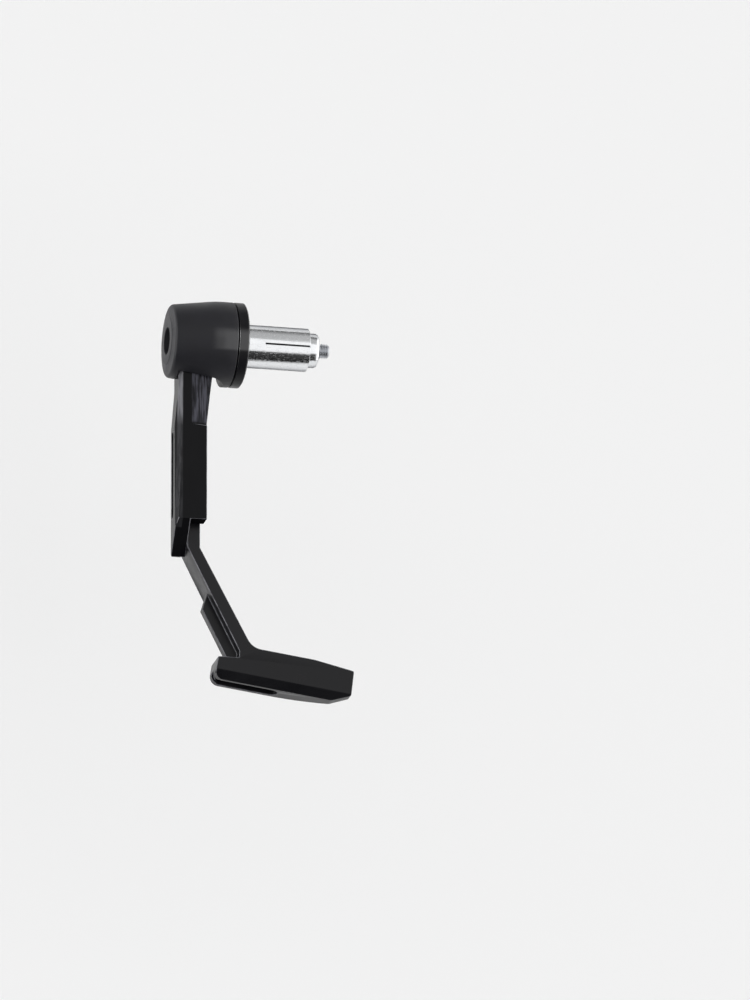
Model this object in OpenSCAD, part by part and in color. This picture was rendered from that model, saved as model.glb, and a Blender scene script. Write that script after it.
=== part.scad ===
// Brake lever guard that plugs into the open end of a motorcycle handlebar.
// X runs along the bar, from the outer end of the cap (-X) to the middle of the bike (+X).
// Y points to the rider and the arm reaches forward, towards -Y. Z is up.
// The origin is the centre of the face that seats on the end of the bar.

/* [Bar plug] */
// Outside diameter of the split sleeve, for the bore of a 22 mm bar
sleeve_d = 17.3; // [15:0.1:22]
// Length of the sleeve inside the bar
sleeve_len = 26.5; // [22:0.5:40]
// How deep the sleeve stands in the register of the seat flange
sleeve_seat = 0.8; // [0.4:0.1:1.5]
// Radial room between the sleeve and that register
seat_play = 0.1; // [0.05:0.01:0.2]
// How much the sleeve's radius is relieved inside the register
seat_relief = 0.4; // [0.3:0.05:0.6]
// Number of slits that let the sleeve spread
slit_count = 4; // [2:1:6]
// Width of a slit
slit_w = 0.6; // [0.4:0.1:1.2]
// Length of sleeve next to the cap that has no slits
slit_start = 8; // [4:0.5:10]
// Turn of the first slit away from straight up
slit_turn = 7; // [0:1:30]
// Diameter of the cone nut's head, past the end of the sleeve
cone_head_d = 13.7; // [12:0.1:14.5]
// Length of the cone nut's head
cone_head_len = 4.2; // [2:0.1:6]
// Diameter of the cone nut's taper where it enters the sleeve
cone_big_d = 12.4; // [11:0.1:13]
// Diameter of the cone nut's taper at its inner end
cone_small_d = 9.6; // [9:0.1:10.5]
// Length of the taper
cone_len = 12; // [8:0.5:14]

/* [Main bolt] */
// Thread diameter of the main bolt
bolt_d = 6; // [5:0.5:7]
// Length of bolt past the cone nut
bolt_tip_len = 4.8; // [2:0.1:8]
// Diameter of the bolt's head
bolt_head_d = 10; // [9:0.1:11]
// Height of the bolt's head
bolt_head_h = 5.4; // [4:0.1:6]
// Size across the flats of the bolt's socket
bolt_key = 5; // [4:0.5:6]
// Depth of the socket
bolt_key_depth = 3; // [2:0.1:3.5]
// Thickness of the washer under the bolt's head
bolt_washer_t = 0.8; // [0.5:0.1:1]
// Radial room round the bolt in the pieces that turn on it
bolt_play = 0.05; // [0.02:0.01:0.1]

/* [End cap] */
// Length of the cap and its seat flange together
cap_len = 30.6; // [29.5:0.1:35]
// Largest diameter of the cap
cap_d = 34.2; // [33:0.1:38]
// Angle of the cap's taper towards its outer end
cap_taper = 7.7; // [4:0.1:9]
// Radius of the curve that ends the taper
cap_curve_r = 48.5; // [30:0.5:60]
// Distance from the bar end to where the curve starts
cap_straight = 8.5; // [6:0.1:10]
// Radius of the outer end's rounded edge
cap_edge_r = 1.3; // [0.5:0.1:2]
// Thickness of the cap's floor under the washer
cap_floor = 2.8; // [2.4:0.1:3.4]
// Wall of the cap round the arm's eye
cap_wall = 3.6; // [3:0.1:4]
// Radial room round the bolt's head in its recess
recess_play = 0.5; // [0.3:0.1:1]
// Width of the flat ring round the recess
recess_ring = 4.2; // [3:0.1:5]
// Drop of the outer end from that ring to the rounded edge
end_drop = 0.7; // [0.3:0.1:1]
// Angle that the arm can swing down in the cap's window
swing = 40; // [20:1:50]
// Radius of the window's upper corner
window_corner = 7; // [4:0.1:7.4]
// Room between the arm and the window's ends
window_play = 0.35; // [0.3:0.05:0.6]
// Room from the arm to the window's inner end
window_extra = 5.2; // [2:0.1:5.6]

/* [Seat flange] */
// How far the rim's radius stands outside the cap's
rim_proud = 0; // [0:0.05:0.5]
// Length of the rim
rim_len = 4.3; // [3:0.1:5]
// Chamfer on the rim's edge at the bar
rim_chamfer = 1; // [0.3:0.1:1.2]
// Fine line between the rim and the cap
rim_line = 0.35; // [0.2:0.05:0.6]
// Length of the spigot that bears on the arm's eye
spigot_len = 8; // [6:0.1:8.3]
// Radial room between the spigot and the cap
spigot_play = 0.08; // [0.03:0.01:0.1]

/* [Upper arm] */
// Thickness of the arm's eye along the bar
eye_t = 6.6; // [6:0.1:7]
// Height of the arm
arm_h = 10.7; // [9:0.1:11.5]
// Distance from the bar end to the neck
neck_from_bar = 12.8; // [12.4:0.1:13.4]
// Width of the neck that leaves the cap
neck_w = 13.6; // [11:0.1:14]
// Width of the arm past its neck
arm_w = 12.55; // [11.5:0.05:14]
// How far the arm's outer face stands outside the neck's
arm_step = 1.25; // [0.5:0.05:2.5]
// Distance from the bar's axis to the end of the neck
neck_end = 36; // [32:0.5:40]
// Length over which the outer face runs out to the arm's width
neck_blend = 16; // [8:0.5:18]
// Distance from the bar's axis to the end of the arm's top
arm_reach = 75.4; // [70:0.1:90]
// Length of the sloped nose past the end of the top
nose_len = 13.2; // [10:0.1:16]
// Thickness of the top over the lower arm
roof_t = 6.8; // [6:0.1:7.5]
// Width of the facet on the outer top edge at the neck
facet_w = 2.5; // [1:0.1:3]
// Width of the facet where it leaves the cap
facet_start_w = 1.5; // [0.5:0.1:2]
// Width of the facet at the far end
facet_end_w = 0.5; // [0.2:0.1:2]
// Height of the facet at the neck
facet_h = 3.9; // [2:0.1:5]
// Height of the facet at the far end
facet_end_h = 2.2; // [1:0.1:4]
// Width of the sloped flat on the inner half of the neck
neck_flat_w = 8.2; // [4:0.1:9]
// Tilt of that flat
neck_flat_tilt = 9; // [4:0.5:14]
// Height of the long groove in the outer face
groove_h = 3.6; // [2:0.1:4]
// Depth of the groove
groove_depth = 2; // [1:0.1:3]
// Height of the bar left under the groove
groove_under = 0.8; // [0.5:0.1:1.2]
// Length of the groove
groove_len = 36; // [20:1:38]
// Thickness of the outer wall beside the lower arm
wall_t = 6; // [5:0.1:6.5]
// Thickness of the cheek that the lower arm is clamped to
cheek_t = 3.9; // [3:0.1:4.4]
// How far the cheek stops short of the nose's tip
cheek_back = 2.6; // [0.5:0.1:5]
// Clear length between the end of the neck and the room for the lower arm
room_back = 3.5; // [2:0.5:5]

/* [Lower arm] */
// Width of the lower arm
bar_w = 5.2; // [4:0.1:5.8]
// Width of the lower arm past its bend
shin_w = 5.6; // [4.5:0.1:7]
// Height of the lower arm
bar_h = 12.8; // [11:0.1:14]
// Room round the lower arm where it slides
slide_play = 0.05; // [0.02:0.01:0.1]
// Distance from the bar's axis to the bend on the lower arm's inner side
bend_reach = 85.15; // [84:0.05:100]
// How much nearer the bend on the outer side is
bend_lead = 0.1; // [0:0.1:1]
// Angle of the bend
bend = 28; // [20:0.5:35]
// Length of the inner side from the bend to the blade's fillet
shin_len = 45.7; // [40:0.1:50]
// Radius of the fillet between the arm and the blade
blade_fillet = 7; // [3:0.5:9]
// Depth of the fin's top under the arm's top
fin_drop = 4.6; // [3:0.1:6]
// Thickness of the fin
fin_t = 4.1; // [2:0.1:5]
// Width of the fin past the arm's side
fin_w = 4.7; // [3:0.1:6]
// Length over which the fin's front corner reaches that width
fin_lead = 5; // [2:0.1:9]
// Distance along the shin from the bend to the fin's point
fin_start = 20; // [16:0.5:26]

/* [Blade] */
// Reach of the blade's tip from the bar end, along the bar
blade_tip = 46.6; // [40:0.1:55]
// How much shorter the blade is at its front edge than at its tip
tip_back = 1.8; // [0:0.1:4]
// How much further out the heel reaches at the front than at the rear
heel_flare = 1.4; // [0:0.1:3]
// Length of the blade outside the arm
heel_len = 8.6; // [8:0.1:13]
// Angle of the blade's edges to the bar
blade_sweep = 7.4; // [4:0.1:10]
// Further angle of the rear edge near the tip
tip_sweep = 5.8; // [0:0.1:8]
// Length of that stretch
tip_sweep_len = 16; // [8:0.5:24]
// Width of the blade beside the arm
blade_w = 14.6; // [13:0.1:18]
// Step from the arm's outer side down to the heel
heel_step = 1.8; // [1:0.1:5]
// Radius of the heel's outer corner
heel_r = 3.6; // [1:0.1:4]
// Length of the chamfered corner at the blade's tip, along the blade
tip_corner_len = 7; // [3:0.1:10]
// Depth of that corner across the blade
tip_corner_w = 2.6; // [1:0.1:4]
// Height of the blade
blade_h = 12.6; // [10:0.1:12.7]
// Width of the bevel along the top outer edge
bevel_w = 3.2; // [1:0.1:4]
// Height of the bevel
bevel_h = 3; // [1:0.1:3.5]
// Length of the underside's rise to the tip
tip_rise_len = 34; // [12:0.5:36]
// Height of that rise
tip_rise = 8; // [2:0.1:8.2]
// Depth of the pocket in the outer face
pocket_depth = 4; // [1:0.1:5]
// Height of the pocket
pocket_h = 6; // [3:0.1:6.2]
// Length of the pocket
pocket_len = 25; // [12:0.5:28]

/* [Clamp] */
// Thread diameter of the two clamp screws
screw_d = 4; // [3:0.5:5]
// Distance between the screws
screw_gap = 14; // [10:0.5:16]
// Distance from the end of the neck to the middle between the screws
screw_reach = 19.5; // [18:0.5:22]
// Size across the flats of a screw's socket
screw_key = 2.5; // [2:0.5:3]
// Depth of the socket
screw_key_depth = 1.4; // [1:0.1:1.8]
// Diameter of a screw's head
screw_head_d = 7.6; // [6:0.1:8]
// Height of a screw's head
screw_head_h = 2.2; // [1.6:0.1:2.4]
// Diameter of a washer under a screw
screw_washer_d = 9; // [8:0.1:9.5]
// Thickness of that washer
screw_washer_t = 0.8; // [0.5:0.1:1]
// Room round a screw in the lower arm's slot
slot_play = 0.2; // [0.1:0.05:0.5]
// How far the lower arm slides in from the photographed place
slide_in = 8; // [4:0.5:9]
// How far it slides out
slide_out = 10; // [4:0.5:11]

/* [Hidden] */
$fn = 64;
black = "#26262a";
dark = "#1c1c1f";
bright = "#c9ccd0";
steel = "#9a9da2";
over = 1;          // How far a cutter runs past the face it cuts
far = 60;          // Half size of cutters that only need to be large

// Stack along the bar, from the bar's end outwards
eye_in_x = -rim_len - spigot_len;
eye_out_x = eye_in_x - eye_t;
floor_x = eye_out_x - cap_floor;
washer_out_x = floor_x - bolt_washer_t;
head_out_x = washer_out_x - bolt_head_h;
bolt_end_x = sleeve_len + cone_head_len + bolt_tip_len;

// Cap and the room inside it
cap_r = cap_d / 2;
rim_r = cap_r + rim_proud;
sleeve_start = -sleeve_seat;
cap_body_x = -rim_len - rim_line;
recess_r = bolt_head_d / 2 + recess_play;
ring_r = recess_r + recess_ring;
eye_room_r = cap_r - cap_wall;
eye_r = eye_room_r - 0.3;
window_floor_r = eye_r - 1.4;
curve_back_x = -cap_straight - cap_curve_r * sin(cap_taper);
curve_back_r = cap_r - cap_curve_r * (1 - cos(cap_taper));
cap_end_r = curve_back_r - (cap_len + curve_back_x) * tan(cap_taper);

// Upper arm
neck_in_x = -neck_from_bar;
neck_out_x = neck_in_x - neck_w;
arm_out_x = neck_out_x - arm_step;
arm_in_x = arm_out_x + arm_w;
arm_top = arm_h / 2;
neck_start = window_floor_r + 0.5;
roof_z = arm_top - roof_t;
room_start = neck_end + room_back;
arm_end = arm_reach + nose_len;

// Lower arm
bar_out_x = arm_out_x + wall_t;
bar_in_x = bar_out_x + bar_w;
bar_top = roof_z - slide_play;
bar_bottom = bar_top - bar_h;
cheek_in_x = bar_out_x - slide_play;
cheek_out_x = cheek_in_x - cheek_t;
cheek_bottom = bar_bottom + 0.5;
bar_mid_z = (bar_top + bar_bottom) / 2;
screw_mid_y = -(neck_end + screw_reach);
tongue_start = room_start + 0.5 + slide_in;
slot_in_y = screw_mid_y + screw_gap / 2 + slide_out;
slot_out_y = screw_mid_y - screw_gap / 2 - slide_in;

// Plan of the lower arm's bend and the blade
shin_dir = [sin(bend), -cos(bend)];
shin_side = [-cos(bend), -sin(bend)];
bend_in = [bar_in_x, -bend_reach];
bend_out = [bar_out_x, -bend_reach + bend_lead];
knee = bend_in + shin_len * shin_dir;
blade_dir = [cos(blade_sweep), -sin(blade_sweep)];
blade_side = [-sin(blade_sweep), -cos(blade_sweep)];
tip_bend_x = blade_tip - tip_sweep_len;
rear_bend = knee + (tip_bend_x - knee[0]) / blade_dir[0] * blade_dir;
rear_tip = rear_bend + [tip_sweep_len, -tip_sweep_len * tan(blade_sweep + tip_sweep)];
front_knee = knee + blade_w * blade_side;
front_end = front_knee + (blade_tip - tip_back - front_knee[0]) / blade_dir[0] * blade_dir;
front_tip = front_end - tip_corner_len * blade_dir;
side_tip = front_end - tip_corner_w * blade_side + 0.3 * blade_dir;
outer_knee = knee + shin_w * shin_side;
outer_end = outer_knee + 6 * shin_dir;
outer_dir = (outer_end - bend_out) / norm(outer_end - bend_out);
outer_side = [outer_dir[1], -outer_dir[0]];
step_x = outer_knee[0] - 0.4;
heel_rear = [step_x - heel_len, outer_knee[1] - heel_step];
front_heel = front_knee + (heel_rear[0] - heel_flare - front_knee[0]) / blade_dir[0] * blade_dir;
blade_bottom = bar_top - blade_h;

module along_x(x) translate([x, 0, 0]) rotate([0, 90, 0]) children();

module rod(d, x_from, x_to) along_x(x_from) cylinder(d = d, h = x_to - x_from);

// Turns a profile of [distance along X, radius] points about the bar's axis
module turned(points) {
    rotate([0, 90, 0]) rotate_extrude() polygon([for (p = points) [p[1], p[0]]]);
}

// Points of an arc that rounds corner b of the path a, b, c
function corner(a, b, c, r, steps = 6) =
    let (
        u = (a - b) / norm(a - b),
        v = (c - b) / norm(c - b),
        half = acos(u * v) / 2,
        m = b + (u + v) / norm(u + v) * r / sin(half),
        p = b + u * r / tan(half) - m,
        q = b + v * r / tan(half) - m,
        turn = acos(p * q / (r * r)),
        side = p[0] * q[1] - p[1] * q[0] > 0 ? 1 : -1
    )
    [for (i = [0:steps]) let (t = side * turn * i / steps)
        m + [p[0] * cos(t) - p[1] * sin(t), p[0] * sin(t) + p[1] * cos(t)]];

// Outline whose corners are given as [point, radius], where radius 0 stays sharp
function outline(list) =
    let (n = len(list))
    [for (i = [0:n - 1]) let (c = list[i])
        each c[1] == 0 ? [c[0]] : corner(list[(i + n - 1) % n][0], c[0], list[(i + 1) % n][0], c[1])];

// Plate with its plan given, between two heights
module plate(points, z_from, z_to) {
    translate([0, 0, z_from]) linear_extrude(z_to - z_from) polygon(points);
}

// Box between two corners
module block(low, high) translate(low) cube(high - low);

module end_cap() {
    edge_x = -cap_len + end_drop + cap_edge_r;
    edge_y = cap_end_r + (edge_x + cap_len) * tan(cap_taper) - cap_edge_r / cos(cap_taper);
    curve = [for (i = [0:6]) let (t = cap_taper * i / 6)
        [-cap_straight - cap_curve_r * sin(t), cap_r - cap_curve_r * (1 - cos(t))]];
    edge = [for (i = [0:6]) let (t = 90 + cap_taper + (90 - cap_taper) * i / 6)
        [edge_x + cap_edge_r * cos(t), edge_y + cap_edge_r * sin(t)]];
    color(black) difference() {
        turned(concat(
            [[cap_body_x, 0], [cap_body_x, cap_r - 0.3], [cap_body_x - 0.3, cap_r]],
            curve, edge,
            [[-cap_len + 0.2, ring_r], [-cap_len, ring_r - 0.2], [-cap_len, 0]]
        ));
        rod(2 * recess_r, -cap_len - over, floor_x);
        rod(bolt_d + 2 * bolt_play, floor_x - over, 0);
        rod(2 * eye_room_r, eye_out_x, 0);
        window();
    }
}

// Room in the cap's wall for the arm, at rest and swung down
module window() {
    h = arm_top + window_play;
    x_out = neck_out_x - window_play;
    x_in = neck_in_x + window_extra;
    c = window_corner;
    difference() {
        intersection() {
            translate([x_out, 0, 0]) rotate([90, 0, 90]) linear_extrude(x_in - x_out) polygon([
                [0, h],
                [-far, h],
                [h * sin(swing) - far * cos(swing), -h * cos(swing) - far * sin(swing)],
                [0, -h / cos(swing)],
            ]);
            rotate([90, 0, 0]) linear_extrude(far) union() {
                translate([x_out - over, -far]) square([x_in - c - x_out + over, far + h + over]);
                translate([x_out - over, -far]) square([x_in - x_out + 2 * over, far + h - c]);
                translate([x_in - c, h - c]) circle(c);
            }
        }
        rod(2 * window_floor_r, -cap_len, 0);
    }
}

module seat_flange() {
    spigot_r = eye_room_r - spigot_play;
    color(black) difference() {
        turned([
            [0, 0], [0, rim_r - rim_chamfer], [-rim_chamfer * 0.6, rim_r],
            [-rim_len + 0.3, rim_r], [-rim_len, rim_r - 0.3],
            [-rim_len, spigot_r], [eye_in_x, spigot_r], [eye_in_x, 0],
        ]);
        rod(bolt_d + 2 * bolt_play, eye_in_x - over, over);
        rod(sleeve_d + 2 * seat_play, sleeve_start, over);
    }
}

module expander_sleeve() {
    wall_in = bolt_d / 2 + 0.4;
    color(bright) difference() {
        union() {
            rod(sleeve_d, 0, sleeve_len);
            rod(sleeve_d - 2 * seat_relief, sleeve_start, over);
        }
        rod(2 * wall_in, sleeve_start - over, sleeve_len + over);
        turned([
            [sleeve_len + over, 0], [sleeve_len + over, cone_big_d / 2 + 0.1],
            [sleeve_len, cone_big_d / 2 + 0.1],
            [sleeve_len - cone_len - 0.4, cone_small_d / 2 + 0.1],
            [sleeve_len - cone_len - 0.4, 0],
        ]);
        for (i = [0:slit_count - 1])
            rotate([slit_turn + i * 360 / slit_count, 0, 0])
                block([slit_start, -slit_w / 2, 0], [sleeve_len + over, slit_w / 2, sleeve_d]);
    }
}

module cone_nut() {
    head_r = cone_head_d / 2;
    x_end = sleeve_len + cone_head_len;
    color(bright) difference() {
        turned([
            [sleeve_len - cone_len, 0], [sleeve_len - cone_len, cone_small_d / 2],
            [sleeve_len, cone_big_d / 2], [sleeve_len, head_r - 0.3], [sleeve_len + 0.3, head_r],
            [x_end - 1, head_r], [x_end - 0.3, head_r - 0.3], [x_end, head_r - 1], [x_end, 0],
        ]);
        rod(bolt_d + 0.1, sleeve_len - cone_len - over, x_end + over);
    }
}

module main_bolt() {
    color(steel) difference() {
        turned([
            [head_out_x, 0], [head_out_x, bolt_head_d / 2 - 0.4], [head_out_x + 0.4, bolt_head_d / 2],
            [washer_out_x, bolt_head_d / 2], [washer_out_x, bolt_d / 2],
            [bolt_end_x - 0.7, bolt_d / 2], [bolt_end_x, bolt_d / 2 - 0.7], [bolt_end_x, 0],
        ]);
        along_x(head_out_x - over) cylinder(d = bolt_key / cos(30), h = bolt_key_depth + over, $fn = 6);
    }
}

module bolt_washer() {
    color(steel) difference() {
        rod(bolt_head_d + 0.6, washer_out_x, floor_x);
        rod(bolt_d + 0.2, washer_out_x - over, floor_x + over);
    }
}

// Neck and outer block of the upper arm, as seen from above
module arm_plan() {
    plate([
        [eye_out_x, -neck_start / 2], [eye_in_x - 0.5, -neck_start / 2],
        [eye_in_x - 0.5, -neck_start], [neck_in_x, -neck_start],
        [arm_in_x, -neck_end], [arm_in_x, -room_start],
        [cheek_in_x, -room_start], [cheek_in_x, -arm_end], [arm_out_x, -arm_end],
        [arm_out_x, -neck_end], [neck_out_x, -neck_end + neck_blend],
        [neck_out_x, -neck_start], [eye_out_x, -neck_start],
    ], -arm_top, arm_top);
}

// Facet along the outer top edge, tapering from one place to the next
module facet(x_a, y_a, w_a, h_a, x_b, y_b, w_b, h_b) {
    hull() {
        for (s = [[x_a, y_a, w_a, h_a], [x_b, y_b, w_b, h_b]])
            translate([s[0], s[1], arm_top]) rotate([90, 0, 0]) linear_extrude(0.01)
                polygon([[s[2], 0], [s[2], over], [-over, over], [-over, -s[3]], [0, -s[3]]]);
    }
}

module upper_arm() {
    color(dark) difference() {
        union() {
            rod(2 * eye_r, eye_out_x, eye_in_x);
            difference() {
                arm_plan();
                translate([neck_in_x - neck_flat_w, -neck_end, arm_top])
                    rotate([0, neck_flat_tilt, 0]) cube([far, neck_end - neck_start / 3, far]);
                facet(neck_out_x, -neck_start, facet_start_w, facet_h * 0.5,
                      arm_out_x, -neck_end, facet_w, facet_h);
                facet(arm_out_x, -neck_end, facet_w, facet_h,
                      arm_out_x, -arm_end, facet_end_w, facet_end_h);
            }
            block([cheek_in_x - over, -arm_reach, roof_z], [arm_in_x, -room_start + over, arm_top]);
            block([cheek_out_x, -arm_end + cheek_back, cheek_bottom], [cheek_in_x, -room_start, 0]);
        }
        rod(bolt_d + 2 * bolt_play, eye_out_x - over, eye_in_x + over);
        nose_cut();
        groove();
        for (s = [-1, 1])
            translate([cheek_out_x - over, screw_mid_y + s * screw_gap / 2, bar_mid_z])
                rotate([0, 90, 0]) cylinder(d = screw_d + 0.1, h = cheek_t + 2 * over);
    }
}

// Slope of the nose, from the end of the top down to the underside
module nose_cut() {
    translate([arm_out_x - over, 0, 0]) rotate([90, 0, 90]) linear_extrude(arm_w + 2 * over)
        polygon([
            [-arm_reach, arm_top], [-arm_end, -arm_top], [-arm_end - over, -arm_top],
            [-arm_end - over, arm_top + over], [-arm_reach, arm_top + over],
        ]);
}

// Long groove with round ends in the outer face
module groove() {
    r = groove_h / 2;
    z_mid = -arm_top + groove_under + r;
    y_in = -neck_end - 1.5;
    translate([arm_out_x - over, 0, z_mid]) rotate([0, 90, 0]) linear_extrude(groove_depth + over) union() {
        translate([-r, y_in - groove_len + r]) square([groove_h, groove_len - groove_h]);
        translate([0, y_in - r]) circle(r);
        translate([0, y_in - groove_len + r]) circle(r);
    }
}

module lower_arm() {
    color(dark) difference() {
        union() {
            plate([
                [bar_out_x, -tongue_start], [bar_in_x, -tongue_start], bend_in, knee,
                knee + 4 * shin_dir, outer_end, bend_out,
            ], bar_bottom, bar_top);
            plate(outline([
                [bend_in + (shin_len - 12) * shin_dir, 0], [knee, blade_fillet], [rear_bend, 8],
                [rear_tip, 0.8], [side_tip, 0.8], [front_tip, 4], [front_heel, heel_r], [heel_rear, 0.6],
                [[step_x, heel_rear[1]], 0.4], [[step_x, outer_knee[1] + 1.1], 0.4],
                [outer_end - 18 * outer_dir, 0],
            ]), blade_bottom, bar_top);
            fin();
        }
        bevel_cut();
        tip_cut();
        pocket();
        clamp_slot();
    }
}

module fin() {
    z_top = bar_top - fin_drop;
    start = bend_out + fin_start * outer_dir;
    plate([
        start - outer_side, start, start + fin_lead * outer_dir + fin_w * outer_side,
        outer_end + fin_w * outer_side, outer_end - outer_side,
    ], z_top - fin_t, z_top);
}

// Everything in front of the blade's front edge is laid out along that edge
module along_front()
    translate([front_knee[0], front_knee[1], bar_top]) rotate([0, 0, -blade_sweep]) children();

module bevel_cut() {
    along_front() translate([-far, 0, 0]) rotate([90, 0, 90]) linear_extrude(2 * far)
        polygon([[bevel_w, 0], [bevel_w, over], [-over, over], [-over, -bevel_h], [0, -bevel_h]]);
}

// The underside rises towards the tip
module tip_cut() {
    x_from = blade_tip - tip_rise_len;
    translate([0, 0, blade_bottom]) rotate([90, 0, 0]) linear_extrude(4 * far) polygon([
        for (i = [0:8]) [x_from + tip_rise_len * i / 8, tip_rise * pow(i / 8, 2.2)],
        [blade_tip + over, tip_rise], [blade_tip + over, -over], [x_from, -over],
    ]);
}

module pocket() {
    r = pocket_h / 2;
    z_mid = -(bevel_h + blade_h) / 2;
    x_from = front_heel[0] - front_knee[0] + 2.2;
    along_front() translate([0, pocket_depth, z_mid]) rotate([90, 0, 0])
        linear_extrude(pocket_depth + over) union() {
            translate([x_from + 1, -r]) square([pocket_len - 1 - r, pocket_h]);
            translate([x_from, -r + 1]) square([2, pocket_h - 2]);
            translate([x_from + 1, r - 1]) circle(1);
            translate([x_from + 1, 1 - r]) circle(1);
            translate([x_from + pocket_len - r, 0]) circle(r);
        }
}

// Slot in the lower arm that the clamp screws pass through
module clamp_slot() {
    r = screw_d / 2 + slot_play;
    translate([bar_out_x - over, 0, bar_mid_z]) rotate([0, 90, 0]) linear_extrude(bar_w + 2 * over) union() {
        translate([-r, slot_out_y]) square([2 * r, slot_in_y - slot_out_y]);
        translate([0, slot_in_y]) circle(r);
        translate([0, slot_out_y]) circle(r);
    }
}

module clamp_screws() {
    head_x = bar_in_x + slide_play + screw_washer_t;
    color(steel) for (s = [-1, 1]) translate([0, screw_mid_y + s * screw_gap / 2, bar_mid_z]) difference() {
        turned([
            [cheek_out_x, 0], [cheek_out_x, screw_d / 2 - 0.4], [cheek_out_x + 0.4, screw_d / 2],
            [head_x, screw_d / 2], [head_x, screw_head_d / 2], [head_x + 0.5, screw_head_d / 2],
            [head_x + screw_head_h * 0.75, screw_head_d / 2 - 1],
            [head_x + screw_head_h, screw_head_d / 2 - 2],
            [head_x + screw_head_h, 0],
        ]);
        along_x(head_x + screw_head_h - screw_key_depth)
            cylinder(d = screw_key / cos(30), h = screw_key_depth + over, $fn = 6);
    }
}

module clamp_washers() {
    washer_x = bar_in_x + slide_play;
    color(steel) for (s = [-1, 1]) translate([0, screw_mid_y + s * screw_gap / 2, bar_mid_z]) difference() {
        rod(screw_washer_d, washer_x, washer_x + screw_washer_t);
        rod(screw_d + 0.2, washer_x - over, washer_x + screw_washer_t + over);
    }
}

end_cap();
seat_flange();
upper_arm();
lower_arm();
expander_sleeve();
cone_nut();
main_bolt();
bolt_washer();
clamp_screws();
clamp_washers();
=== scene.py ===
"""Brake lever guard, dressed for the camera: black anodised cap and arms on a bright turned plug."""

import math

import bmesh
import bpy
from mathutils import Matrix, Vector


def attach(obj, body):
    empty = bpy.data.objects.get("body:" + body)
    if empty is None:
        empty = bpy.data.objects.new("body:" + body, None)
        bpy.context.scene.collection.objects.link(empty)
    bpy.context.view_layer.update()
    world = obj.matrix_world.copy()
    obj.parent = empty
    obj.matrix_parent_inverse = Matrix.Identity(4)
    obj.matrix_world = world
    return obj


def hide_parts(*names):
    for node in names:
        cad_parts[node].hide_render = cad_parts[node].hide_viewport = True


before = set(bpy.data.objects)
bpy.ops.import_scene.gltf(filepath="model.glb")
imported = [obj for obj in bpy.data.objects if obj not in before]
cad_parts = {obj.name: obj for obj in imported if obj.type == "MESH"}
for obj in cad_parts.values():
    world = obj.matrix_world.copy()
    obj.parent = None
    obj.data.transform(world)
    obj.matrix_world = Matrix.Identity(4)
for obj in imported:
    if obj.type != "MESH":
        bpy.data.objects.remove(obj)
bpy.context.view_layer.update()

MM = 0.001

# Photograph's frame, in pixels, and the place in it of the bar end's centre
FRAME_W, FRAME_H = 750, 1000
ORIGIN_PX = (241.5, 346)
MM_PER_PX = 0.4
LENS = 1000
SENSOR = 36

# Directions of the picture's right and up edges in the part's own frame
PICTURE_RIGHT = Vector((0.976, 0, 0.218)).normalized()
PICTURE_UP = Vector((-0.0659, 0.953, 0.295)).normalized()

# Floor, in mm: its height, below the arm when that hangs straight down, and half its side
FLOOR_Z, FLOOR_HALF = -150, 6000

# Studio light: strengths
CEILING_LIGHT, SIDE_LIGHT, WALL_LIGHT, DARK_FRONT, STRIP_LIGHT = 1.1, 2.4, 0.48, 0.03, 9

# Least rise of a direction that the slopes of the ceiling panel's edges are worked out with
LEAST_RISE = 0.001

# Share of the light that is left on the ceiling panel's left part, and on the wall at the horizon
CEILING_DIM, HORIZON_DIM = 0.5, 0.3

# Soft edges of the ceiling panel, as slopes: y over z for its front and back, x over z for its left and right
CEILING_FRONT, CEILING_BACK = (-0.85, -0.72), (0.62, 0.48)
CEILING_LEFT, CEILING_RIGHT = (0.1, 0.17), (1.1, 0.9)

# Soft edges of the rest of the room, as parts of a direction: y for the wall, x for the side light, and z
# for the horizon; the strip has one along z at its top and one along x
WALL_EDGE, HORIZON_EDGE, SIDE_EDGE = (-0.12, 0.2), (0.1, 0.5), (0.5, 0.62)
STRIP_TOP, STRIP_EDGE = (0.4, 0.25), (-0.8, -0.9)

# Main bolt, in mm: head, socket, shank and thread
HEAD_OUT, HEAD_IN, HEAD_R = -27.9, -22.5, 5
SOCKET_R, SOCKET_DEPTH = 2.5 / math.cos(math.radians(30)), 3
SHANK_R, THREAD_FROM, BOLT_END = 3, 13, 35.5
PITCH = 1
THREAD_DEPTH = 0.5
THREAD_RUN_IN, TIP_CHAMFER = 1.5, 0.7

# Shares of half the pitch that a thread's crest and its flank take
CREST, FLANK = 0.12, 0.7

# Copies of CAD nodes: points closer than MERGE mm join, and faces that turn by less than FLAT degrees.
# After a cut, points closer than CUT_MERGE join and slivers thinner than CUT_SLIVER go.
MERGE, CUT_MERGE, CUT_SLIVER, FLAT = 0.02, 0.06, 0.03, 0.4

# Turn, in degrees, from which an edge is sharp, on the bolt and elsewhere, and from which it takes the
# painted edge highlight
BOLT_SHARP, SHARP, EDGE_HIGHLIGHT_TURN = 35, 26, 80

# Soft borders of the finishes, in mm, each from where it is fully outside to where it is fully inside:
# the glossy crown of the cap and ring; the neck's flat, scuffed and painted with sheen, and the neck's facet,
# painted with a highlight
CROWN_Z, CROWN_FRONT, CROWN_BACK, CROWN_INNER = (12, 15), (-7.6, -6.2), (3, -1), (-16, -12)
FLAT_X, FLAT_Y, FLAT_Z = (-21.6, -21.1), (-35.6, -34), (3.2, 3.8)
FACET_X, FACET_Y, FACET_Z = (-24.8, -25.3), (-37, -29), (2.6, 3)

# End of the upper arm, dull and without reflection as painted shade: its faces lie beyond this y and this x,
# in mm, and look towards -y
SHADE_END_Y, SHADE_END_X, SHADE_END_WAY = -75.3, -21.3, -0.9

# Heights between which the undersides of the shin and of the blade lie, in mm
UNDERSIDES = -14.31, -14.1

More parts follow.
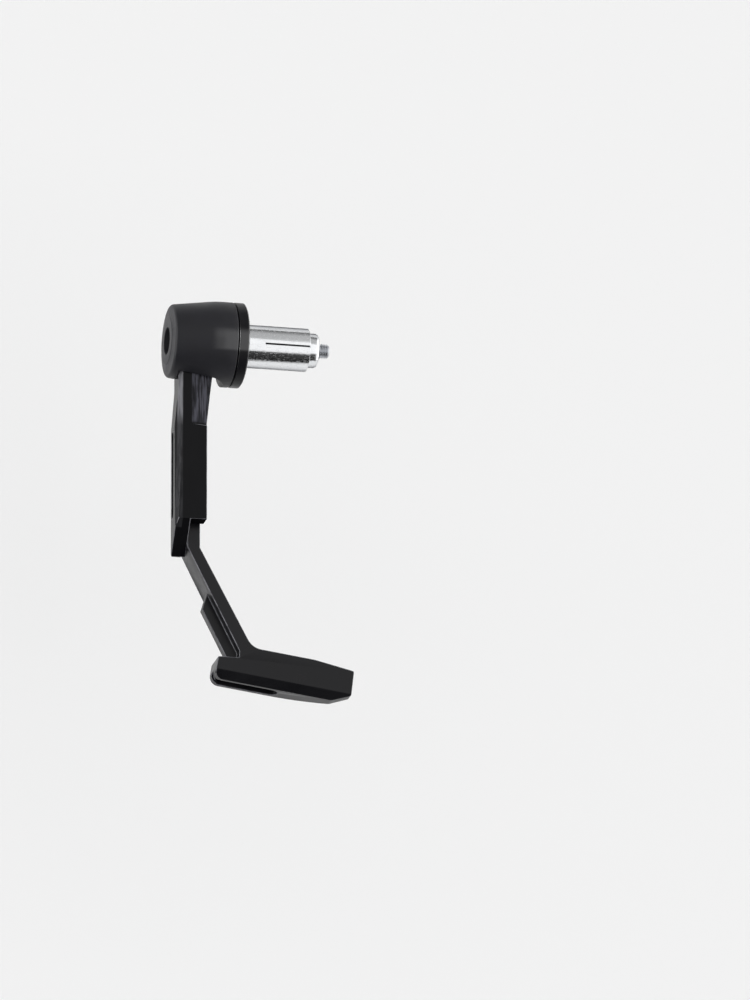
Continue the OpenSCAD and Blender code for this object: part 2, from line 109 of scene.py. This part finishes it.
# Heel of the blade, in mm: centre and radius of its outer corner, and the groove round it
HEEL_CENTRE, HEEL_R = (-6.17, -135.15), 3.6
GROOVE_R, GROOVE_LOW, GROOVE_HIGH = 2.4, -11.5, -7.1

# Direction in which the groove starts, and how far it turns, in degrees
GROOVE_START, GROOVE_TURN = 166, 98


def linear(hex_colour):
    """sRGB hex to linear RGBA."""
    parts = [int(hex_colour[i:i + 2], 16) / 255 for i in (1, 3, 5)]
    return [c / 12.92 if c <= 0.04045 else ((c + 0.055) / 1.055) ** 2.4 for c in parts] + [1]


def connect(tree, node, **inputs):
    """Gives a node its inputs: plain values, outputs, or nodes that stand for their first output.

    An input goes by its name, with _ for a space, or by i and its number."""
    for key, value in inputs.items():
        name = key.replace("_", " ")
        socket = node.inputs[int(name[1:])] if name[0] == "i" and name[1:].isdigit() else node.inputs[name]
        if isinstance(value, bpy.types.Node):
            value = value.outputs[0]
        if isinstance(value, bpy.types.NodeSocket):
            tree.links.new(value, socket)
        else:
            socket.default_value = value
    return node


def add_node(tree, kind, settings=None, **inputs):
    """A node with its settings and inputs."""
    made = tree.nodes.new(kind)
    for key, value in (settings or {}).items():
        setattr(made, key, value)
    return connect(tree, made, **inputs)


def new_material(name, **settings):
    """A Principled material, its tree and its shader. Constant numbers sit on the shader's own sockets."""
    material = bpy.data.materials.new(name)
    material.use_nodes = True
    tree = material.node_tree
    shader = connect(tree, tree.nodes["Principled BSDF"], **settings)
    return material, tree, shader


def stretched(tree, x_mm, y_mm, z_mm, detail=3):
    """Noise whose grains measure about x, y and z mm."""
    place = add_node(tree, "ShaderNodeTexCoord").outputs["Object"]
    scale = [1 / (size * MM) for size in (x_mm, y_mm, z_mm)]
    grid = add_node(tree, "ShaderNodeMapping", Vector=place, Scale=scale)
    return add_node(tree, "ShaderNodeTexNoise", Vector=grid, Scale=1, Detail=detail)


def place_in_mm(tree):
    """X, Y and Z of the surface point in the part's frame, in mm."""
    place = add_node(tree, "ShaderNodeTexCoord").outputs["Object"]
    grown = add_node(tree, "ShaderNodeVectorMath", {"operation": "SCALE"}, i0=place, Scale=1 / MM)
    return add_node(tree, "ShaderNodeSeparateXYZ", i0=grown).outputs


def within(tree, *borders, least=0.0, most=1.0):
    """Runs from least, outside a region, to most inside it.

    Each of its soft borders is a value, where that value is fully outside, and where it is fully inside."""
    share = None
    for value, outside, inside in borders:
        border = add_node(tree, "ShaderNodeMapRange", {"interpolation_type": "SMOOTHSTEP"}, Value=value,
                          From_Min=outside, From_Max=inside)
        share = border if share is None else product(tree, share, border)
    return add_node(tree, "ShaderNodeMath", {"operation": "MULTIPLY_ADD"}, i0=share, i1=most - least,
                    i2=least)


def product(tree, *factors):
    """All factors multiplied."""
    total = factors[0]
    for factor in factors[1:]:
        total = add_node(tree, "ShaderNodeMath", {"operation": "MULTIPLY"}, i0=total, i1=factor)
    return total


def paint(tree, shader, ground, *coats):
    """Colours a material: a ground tone, which the socket keeps too, and over it each coat by its share."""
    colour = linear(ground)
    connect(tree, shader, Base_Color=colour)
    for share, tone in coats:
        mix = add_node(tree, "ShaderNodeMix", {"data_type": "RGBA"}, i0=share, i6=colour, i7=linear(tone))
        colour = mix.outputs[2]
    connect(tree, shader, Base_Color=colour)


def emboss(tree, shader, *layers):
    """Bump of several layers, each a height and its depth in mm."""
    below = {}
    for height, depth in layers:
        bump = add_node(tree, "ShaderNodeBump", Height=height, Distance=depth * MM, Strength=1, **below)
        below = {"Normal": bump}
    connect(tree, shader, **below)


def crown_gloss(tree, shader, most):
    """A glossier strip along the top of the cap's inner half and of its ring, where a hand rubs them."""
    x, y, z = place_in_mm(tree)
    connect(tree, shader, Coat_Weight=within(tree, (x, *CROWN_INNER), (z, *CROWN_Z), (y, *CROWN_FRONT),
                                             (y, *CROWN_BACK), most=most))


def satin_anodised():
    """Turned aluminium, bead blasted and anodised black: a soft wide sheen with a faint blue in it."""
    material, tree, shader = new_material("satin_black_anodised", Specular_IOR_Level=0.26,
                                          Coat_Roughness=0.12, Coat_IOR=2.2)
    # Blasting leaves a finer grain than this; it is drawn coarser so that close views show it
    grain = stretched(tree, 0.25, 0.25, 0.25)
    rings = stretched(tree, 0.35, 400, 400)
    cloud = stretched(tree, 9, 9, 9, 2)
    paint(tree, shader, "#1c1c1f", (cloud, "#222227"))
    crown_gloss(tree, shader, 0.32)
    connect(tree, shader, Roughness=within(tree, (cloud, 0.3, 0.7), least=0.42, most=0.52))
    emboss(tree, shader, (rings, 0.006), (grain, 0.012))
    return material


def polished_anodised():
    """Edge ring turned to a finer surface before anodising: a deeper black that shows what is above it."""
    material, tree, shader = new_material("polished_black_anodised", Specular_IOR_Level=0.16,
                                          Coat_Roughness=0.12, Coat_IOR=2.2)
    rings = stretched(tree, 0.3, 400, 400)
    cloud = stretched(tree, 7, 7, 7, 2)
    paint(tree, shader, "#0e0e11", (cloud, "#161619"))
    crown_gloss(tree, shader, 0.38)
    connect(tree, shader, Roughness=within(tree, (cloud, 0.3, 0.7), least=0.3, most=0.38))
    emboss(tree, shader, (rings, 0.004))
    return material


def milled_anodised():
    """Milled aluminium, black anodised: smooth and dark; the neck's flat a streaky lighter grey, partly
    scuffed and partly painted sheen, and the neck's facet a lighter grey that is a painted highlight.
    """
    material, tree, shader = new_material("black_anodised_milled", Specular_IOR_Level=0.1)
    # Cutter lines along the arm, about 0.3 mm apart, and streaks about 1 mm wide and 9 mm long in the neck's
    # lighter grey
    lines = stretched(tree, 0.3, 14, 0.3)
    cloud = stretched(tree, 12, 12, 12, 2)
    streaks = stretched(tree, 0.9, 9, 30, 4)
    x, y, z = place_in_mm(tree)
    # Painted light on the neck: the flat's lighter grey is partly scuffed finish and partly painted sheen,
    # the facet's lighter grey is a painted highlight
    flat = within(tree, (x, *FLAT_X), (z, *FLAT_Z), (y, *FLAT_Y))
    flat = product(tree, flat, within(tree, (streaks, 0.36, 0.62), least=0.1))
    facet = product(tree, within(tree, (x, *FACET_X), (z, *FACET_Z)), within(tree, (y, *FACET_Y), least=0.16),
                    within(tree, (streaks, 0.3, 0.62), least=0.35))
    paint(tree, shader, "#0b0b0d", (cloud, "#111113"), (flat, "#4a4a52"), (facet, "#68686c"))
    scuff_and_sheen = add_node(tree, "ShaderNodeMath", {"operation": "MAXIMUM"}, i0=flat, i1=facet)
    connect(tree, shader, Roughness=within(tree, (scuff_and_sheen, 0, 1), least=0.26, most=0.55))
    emboss(tree, shader, (lines, 0.004), (flat, 0.06))
    return material


def end_face_painted_shade():
    """End face of the arm, black anodised: dull and without any reflection, as painted shade, with the fine
    grooves of the saw across it.
    """
    material, tree, shader = new_material("black_anodised_end_painted_shade", Roughness=0.7,
                                          Specular_IOR_Level=0)
    kerf = stretched(tree, 30, 30, 0.35, 2)
    paint(tree, shader, "#0a0a0c", (kerf, "#131315"))
    emboss(tree, shader, (kerf, 0.01))
    return material


def cast_coating():
    """Cast aluminium under a black coat that keeps the grain of the mould."""
    material, tree, shader = new_material("black_coat_on_casting", Specular_IOR_Level=0.26)
    # Sand grains of 0.5 mm under the coat, and the coat's own ripple of about 2 mm
    grain = stretched(tree, 0.5, 0.5, 0.5)
    orange_peel = stretched(tree, 2.2, 2.2, 2.2, 2)
    cloud = stretched(tree, 10, 10, 10, 2)
    paint(tree, shader, "#101012", (cloud, "#151518"))
    connect(tree, shader, Roughness=within(tree, (cloud, 0.3, 0.7), least=0.27, most=0.36))
    emboss(tree, shader, (orange_peel, 0.02), (grain, 0.012))
    return material


def edge_highlight_paint():
    """Rounded edge of a black part, painted a dull mottled grey as a painted highlight along the edge."""
    material, tree, shader = new_material("painted_edge_highlight_grey", Specular_IOR_Level=0.4)
    highlight_mottle = stretched(tree, 4, 4, 4, 4)
    paint(tree, shader, "#3c3c40", (within(tree, (highlight_mottle, 0.35, 0.65)), "#68686d"))
    connect(tree, shader, Roughness=within(tree, (highlight_mottle, 0.3, 0.7), least=0.3, most=0.45))
    return material


def turned_aluminium():
    """Bright turned aluminium, with the fine rings of the tool and specks where it chattered."""
    # The dark grey specular tint darkens the metal's grazing reflections along its rims: painted shade
    material, tree, shader = new_material("turned_aluminium", Metallic=1,
                                          Specular_Tint=linear("#404044"))
    # Rings at the tool's feed of about 0.2 mm a turn, and slower waves of 1.6 mm
    rings = stretched(tree, 0.22, 400, 400, 4)
    wide = stretched(tree, 1.6, 400, 400, 2)
    handling = stretched(tree, 5, 5, 5, 4)
    chatter = stretched(tree, 1.5, 0.5, 0.5, 4)
    paint(tree, shader, "#e8eaed", (handling, "#f5f6f7"))
    specks = within(tree, (chatter, 0.54, 0.68), most=0.16)
    turned = within(tree, (rings, 0.3, 0.7), least=0.13, most=0.22)
    rough = add_node(tree, "ShaderNodeMath", {"operation": "ADD"}, i0=turned, i1=specks)
    connect(tree, shader, Roughness=rough)
    emboss(tree, shader, (wide, 0.006), (rings, 0.004), (chatter, 0.004))
    return material


def zinc_steel():
    """Steel with a bright zinc plate, faintly cloudy."""
    material, tree, shader = new_material("zinc_plated_steel", Metallic=1)
    cloud = stretched(tree, 3, 3, 3, 4)
    grain = stretched(tree, 0.3, 0.3, 0.3)
    paint(tree, shader, "#a9acb1", (cloud, "#c6c8cb"))
    connect(tree, shader, Roughness=within(tree, (cloud, 0.3, 0.7), least=0.15, most=0.26))
    emboss(tree, shader, (grain, 0.003))
    return material


def settled(obj):
    """Plain mesh of an object with its modifiers carried out, put back on the object."""
    graph = bpy.context.evaluated_depsgraph_get()
    obj.data = bpy.data.meshes.new_from_object(obj.evaluated_get(graph))
    obj.modifiers.clear()
    return obj


def as_object(name, work, material, body, slot, *nodes):
    """Finishes a bmesh as a piece that rides on a body and stands for CAD nodes."""
    mesh = bpy.data.meshes.new(name)
    work.to_mesh(mesh)
    work.free()
    mesh.polygons.foreach_set("use_smooth", [True] * len(mesh.polygons))
    obj = bpy.data.objects.new(name, mesh)
    bpy.context.scene.collection.objects.link(obj)
    mesh.materials.append(material)
    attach(obj, body)
    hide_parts(*nodes)
    return obj


def cut_away(obj, cutter):
    """Takes a closed bmesh away from an object."""
    mesh = bpy.data.meshes.new("cutter")
    cutter.to_mesh(mesh)
    cutter.free()
    tool = bpy.data.objects.new("cutter", mesh)
    bpy.context.scene.collection.objects.link(tool)
    cut = obj.modifiers.new("cut", "BOOLEAN")
    cut.object = tool
    cut.solver = "EXACT"
    settled(obj)
    bpy.data.objects.remove(tool)


def softened(name, node, material, body, slot, width, edge_material=None, cutter=None, flush=None):
    """Copy of a CAD node with whole flat faces and its sharper edges broken by a round of this width in mm.

    Points between the two heights of flush, in mm, come level with the upper one."""
    work = bmesh.new()
    work.from_mesh(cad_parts[node].data)
    for vert in work.verts:
        if flush and flush[0] < vert.co.z / MM < flush[1]:
            vert.co.z = flush[1] * MM
    bmesh.ops.remove_doubles(work, verts=work.verts, dist=MERGE * MM)
    bmesh.ops.dissolve_limit(work, angle_limit=math.radians(FLAT), verts=work.verts, edges=work.edges)
    obj = as_object(name, work, material, body, slot, node)
    if cutter:
        cut_away(obj, cutter)
        work = bmesh.new()
        work.from_mesh(obj.data)
        bmesh.ops.remove_doubles(work, verts=work.verts, dist=CUT_MERGE * MM)
        bmesh.ops.dissolve_degenerate(work, edges=work.edges, dist=CUT_SLIVER * MM)
        bmesh.ops.dissolve_limit(work, angle_limit=math.radians(FLAT), verts=work.verts, edges=work.edges)
        work.to_mesh(obj.data)
        work.free()
    obj.data.set_sharp_from_angle(angle=math.radians(SHARP))
    edge = obj.modifiers.new("edge", "BEVEL")
    edge.width = width * MM
    edge.segments = 3
    edge.limit_method = "ANGLE"
    edge.angle_limit = math.radians(EDGE_HIGHLIGHT_TURN if edge_material else SHARP)
    edge.use_clamp_overlap = False
    edge.harden_normals = True
    # The second material is a painted highlight along the rounded edges
    if edge_material:
        obj.data.materials.append(edge_material)
        edge.material = 1
    return settled(obj)


def heel_groove():
    """Closed piece of a ring, along which the blade's pocket runs on round the corner of the heel."""
    centre_x, centre_y = HEEL_CENTRE
    work = bmesh.new()
    beyond = HEEL_R + 3
    corners = [(GROOVE_R, GROOVE_LOW), (beyond, GROOVE_LOW), (beyond, GROOVE_HIGH), (GROOVE_R, GROOVE_HIGH)]
    sections = []
    steps = 16
    for i in range(steps + 1):
        turn = math.radians(GROOVE_START + GROOVE_TURN * i / steps)
        way_x, way_y = math.cos(turn), math.sin(turn)
        sections.append([work.verts.new(((centre_x + r * way_x) * MM, (centre_y + r * way_y) * MM, z * MM))
                         for r, z in corners])
    for a, b in zip(sections, sections[1:]):
        for i in range(4):
            work.faces.new((a[i], a[(i + 1) % 4], b[(i + 1) % 4], b[i]))
    work.faces.new(sections[0])
    work.faces.new(reversed(sections[-1]))
    bmesh.ops.recalc_face_normals(work, faces=work.faces)
    return work


def lathe(work, profile, steps):
    """Closed surface turned about the X axis from (x, radius) points in mm, both ends on the axis."""
    rings = []
    for x, r in profile:
        if r == 0:
            rings.append([work.verts.new((x * MM, 0, 0))])
            continue
        turns = [2 * math.pi * i / steps for i in range(steps)]
        rings.append([work.verts.new((x * MM, r * math.cos(t) * MM, r * math.sin(t) * MM)) for t in turns])
    for a, b in zip(rings, rings[1:]):
        for i in range(steps):
            j = (i + 1) % steps
            corners = [a[i % len(a)], a[j % len(a)], b[j % len(b)], b[i % len(b)]]
            work.faces.new([v for k, v in enumerate(corners) if v not in corners[:k]])
    return rings


def threaded_bolt():
    """Main bolt: head with a hexagonal socket, shank, and a real helical thread to its tip."""
    work = bmesh.new()
    profile = [(HEAD_OUT, 0), (HEAD_OUT, HEAD_R - 0.6), (HEAD_OUT + 0.12, HEAD_R - 0.25),
               (HEAD_OUT + 0.4, HEAD_R), (HEAD_IN - 0.1, HEAD_R), (HEAD_IN, HEAD_R - 0.1), (HEAD_IN, SHANK_R)]
    steps, rows = 96, 16
    length = BOLT_END - THREAD_FROM
    profile += [(THREAD_FROM + PITCH * k / rows, SHANK_R) for k in range(int(length / PITCH * rows))]
    rings = lathe(work, profile + [(BOLT_END, SHANK_R), (BOLT_END, 0)], steps)
    for ring in rings:
        for vert in ring:
            x = vert.co.x / MM
            if x <= THREAD_FROM or len(ring) == 1:
                continue
            turn = math.atan2(vert.co.z, vert.co.y) / (2 * math.pi)
            phase = (x / PITCH - turn) % 1
            flank = min(1, max(0, (abs(phase - 0.5) * 2 - CREST) / FLANK))
            start = min(1, (x - THREAD_FROM) / THREAD_RUN_IN)
            radius = SHANK_R - THREAD_DEPTH * flank * start
            radius = min(radius, SHANK_R - TIP_CHAMFER + (BOLT_END - x))
            vert.co.y *= radius / SHANK_R
            vert.co.z *= radius / SHANK_R
    bolt = as_object("socket_bolt", work, zinc, "plug", "zinc_steel", "main_bolt")
    key = bmesh.new()
    bmesh.ops.create_cone(key, cap_ends=True, segments=6, radius1=SOCKET_R * MM, radius2=SOCKET_R * MM,
                          depth=2 * SOCKET_DEPTH * MM)
    place = Matrix.Translation((HEAD_OUT * MM, 0, 0)) @ Matrix.Rotation(math.pi / 2, 4, "Y")
    bmesh.ops.transform(key, matrix=place, verts=key.verts)
    cut_away(bolt, key)
    bolt.data.set_sharp_from_angle(angle=math.radians(BOLT_SHARP))
    return bolt


def place_camera():
    towards = PICTURE_RIGHT.cross(PICTURE_UP)
    distance = LENS / SENSOR * FRAME_H * MM_PER_PX * MM
    right_mm = (FRAME_W / 2 - ORIGIN_PX[0]) * MM_PER_PX
    down_mm = (FRAME_H / 2 - ORIGIN_PX[1]) * MM_PER_PX
    data = bpy.data.cameras.new("camera")
    data.lens = LENS
    data.sensor_width = SENSOR
    data.clip_end = 100
    camera = bpy.data.objects.new("camera", data)
    bpy.context.scene.collection.objects.link(camera)
    camera.matrix_world = Matrix((PICTURE_RIGHT, PICTURE_UP, towards)).transposed().to_4x4()
    camera.location = (PICTURE_RIGHT * right_mm - PICTURE_UP * down_mm) * MM + towards * distance
    bpy.context.scene.camera = camera


def place_floor():
    mesh = bpy.data.meshes.new("floor")
    half, depth = FLOOR_HALF * MM, FLOOR_Z * MM
    corners = [(-half, -half, depth), (half, -half, depth), (half, half, depth), (-half, half, depth)]
    mesh.from_pydata(corners, [], [(0, 1, 2, 3)])
    floor = bpy.data.objects.new("floor", mesh)
    bpy.context.scene.collection.objects.link(floor)
    finish, _, _ = new_material("pale_floor", Base_Color=linear("#f6f6f6"), Roughness=1, Specular_IOR_Level=0)
    mesh.materials.append(finish)


def place_light():
    """Studio room: a white ceiling panel, a wide side light, a grey wall, a dark front, a strip at left."""
    world = bpy.data.worlds.new("studio")
    bpy.context.scene.world = world
    world.use_nodes = True
    tree = world.node_tree
    way = add_node(tree, "ShaderNodeTexCoord").outputs["Generated"]
    x, y, z = add_node(tree, "ShaderNodeSeparateXYZ", i0=way).outputs
    up = add_node(tree, "ShaderNodeMath", {"operation": "MAXIMUM"}, i0=z, i1=LEAST_RISE)
    lean = add_node(tree, "ShaderNodeMath", {"operation": "DIVIDE"}, i0=y, i1=up)
    tilt = add_node(tree, "ShaderNodeMath", {"operation": "DIVIDE"}, i0=x, i1=up)
    panel = within(tree, (lean, *CEILING_FRONT), (lean, *CEILING_BACK), (tilt, *CEILING_RIGHT))
    panel = product(tree, panel, within(tree, (tilt, *CEILING_LEFT), least=CEILING_DIM))
    wall = product(tree, within(tree, (y, *WALL_EDGE), least=DARK_FRONT, most=WALL_LIGHT),
                   within(tree, (z, *HORIZON_EDGE), least=HORIZON_DIM))
    side = within(tree, (x, *SIDE_EDGE), most=SIDE_LIGHT)
    strip = within(tree, (z, *STRIP_TOP), (x, *STRIP_EDGE), most=STRIP_LIGHT)
    room = add_node(tree, "ShaderNodeMath", {"operation": "ADD"}, i0=wall, i1=side)
    room = add_node(tree, "ShaderNodeMath", {"operation": "ADD"}, i0=room, i1=strip)
    past_panel = add_node(tree, "ShaderNodeMath", {"operation": "SUBTRACT"}, i0=1, i1=panel)
    total = add_node(tree, "ShaderNodeMath", {"operation": "MULTIPLY_ADD"}, i0=panel, i1=CEILING_LIGHT,
                     i2=product(tree, room, past_panel))
    connect(tree, tree.nodes["Background"], Color=linear("#ffffff"), Strength=total)
    bpy.context.scene.view_settings.view_transform = "Standard"


place_camera()

satin = satin_anodised()
polished = polished_anodised()
milled = milled_anodised()
coated = cast_coating()
bright = turned_aluminium()
zinc = zinc_steel()
# Painted highlight for the rounded edges of the arm and the blade
edge_highlight = edge_highlight_paint()

softened("cap_shell", "end_cap", satin, "cap", "cap_black", 0.2)
softened("seat_ring", "seat_flange", polished, "plug", "cap_black", 0.15)
arm = softened("arm_block", "upper_arm", milled, "arm", "arm_black", 0.3, edge_highlight)
# The end faces of the upper arm take a dull finish with no reflection: painted shade
arm.data.materials.append(end_face_painted_shade())
for face in arm.data.polygons:
    if face.normal.y < SHADE_END_WAY and face.center.y < SHADE_END_Y * MM and face.center.x > SHADE_END_X * MM:
        face.material_index = 2
softened("blade_casting", "lower_arm", coated, "reach", "cast_black", 0.3, edge_highlight, heel_groove(), UNDERSIDES)
softened("split_sleeve", "expander_sleeve", bright, "plug", "turned_aluminium", 0.12)
softened("cone", "cone_nut", bright, "plug", "turned_aluminium", 0.12)
softened("head_washer", "bolt_washer", zinc, "plug", "zinc_steel", 0.08)
softened("button_screws", "clamp_screws", zinc, "arm", "zinc_steel", 0.1)
softened("screw_washers", "clamp_washers", zinc, "arm", "zinc_steel", 0.08)
threaded_bolt()

place_floor()
place_light()
